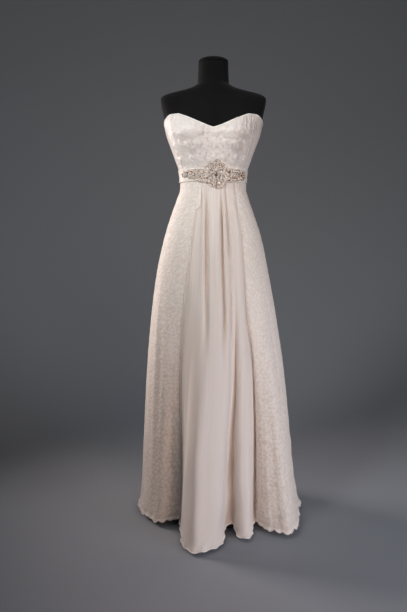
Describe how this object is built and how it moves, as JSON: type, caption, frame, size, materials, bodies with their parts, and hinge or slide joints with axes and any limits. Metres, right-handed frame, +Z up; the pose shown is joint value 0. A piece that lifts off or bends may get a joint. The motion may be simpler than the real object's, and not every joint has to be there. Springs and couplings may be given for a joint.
{
  "type": "wedding dress on a dress form",
  "caption": "Strapless sweetheart wedding dress with a beaded belt, draped chiffon front and lace side panels, on a black limbless dress form with a round base.",
  "frame": {"origin": "centre of the underside of the stand's round base, on the floor", "axes": "+Z up, -Y toward the front of the dress, +X to the viewer's right when the front is seen"},
  "size_m": [0.6449, 0.6467, 1.7233],
  "materials": {
    "satin": "ivory duchess satin with a soft sheen",
    "piping": "satin piping",
    "chiffon": "soft matt ivory chiffon over lining",
    "lace": "corded lace over ivory lining",
    "lace_trim": "corded scalloped lace",
    "bead_ground": "champagne and silver beads sewn on net",
    "crystal": "cut crystal with a foiled back",
    "pearl": "pearl coated bead",
    "black_jersey": "matt black jersey",
    "black_wood": "black lacquered turned wood",
    "black_steel": "black powder coat",
    "zip_tape": "ivory nylon coil",
    "zip_metal": "ivory enamelled die casting"
  },
  "bodies": {
    "dress_on_form": {"belt_applique": "bead_ground", "belt_band": "satin", "belt_piping_bottom": "piping", "belt_piping_top": "piping", "bodice_back_left": "satin", "bodice_back_right": "satin", "bodice_front": "satin", "bodice_side_left": "satin", "bodice_side_right": "satin", "chiffon_front_panel": "chiffon", "form_collar": "black_wood", "form_neck_cap": "black_jersey", "form_torso": "black_jersey", "lace_edge_left": "lace_trim", "lace_edge_right": "lace_trim", "lace_hem_left": "lace_trim", "lace_hem_right": "lace_trim", "lace_panel_left": "lace", "lace_panel_right": "lace", "stand_base": "black_steel", "stand_pole": "black_steel", "stone_01": "crystal", "stone_02": "crystal", "stone_03": "crystal", "stone_04": "crystal", "stone_05": "crystal", "stone_06": "crystal", "stone_07": "crystal", "stone_08": "pearl", "stone_09": "crystal", "stone_10": "crystal", "stone_11": "crystal", "stone_12": "crystal", "stone_13": "crystal", "stone_14": "crystal", "stone_15": "crystal", "zip_coil": "zip_tape", "zip_slider": "zip_metal"},
    "pull_tab": {"zip_pull": "zip_metal"}
  },
  "joints": [
    {"name": "pull_tab_hinge", "type": "hinge", "parent": "dress_on_form", "child": "pull_tab", "pos_m": [0, 0.1149, 1.4275], "axis": [1, 0, 0], "range_deg": [0, 175]}
  ]
}
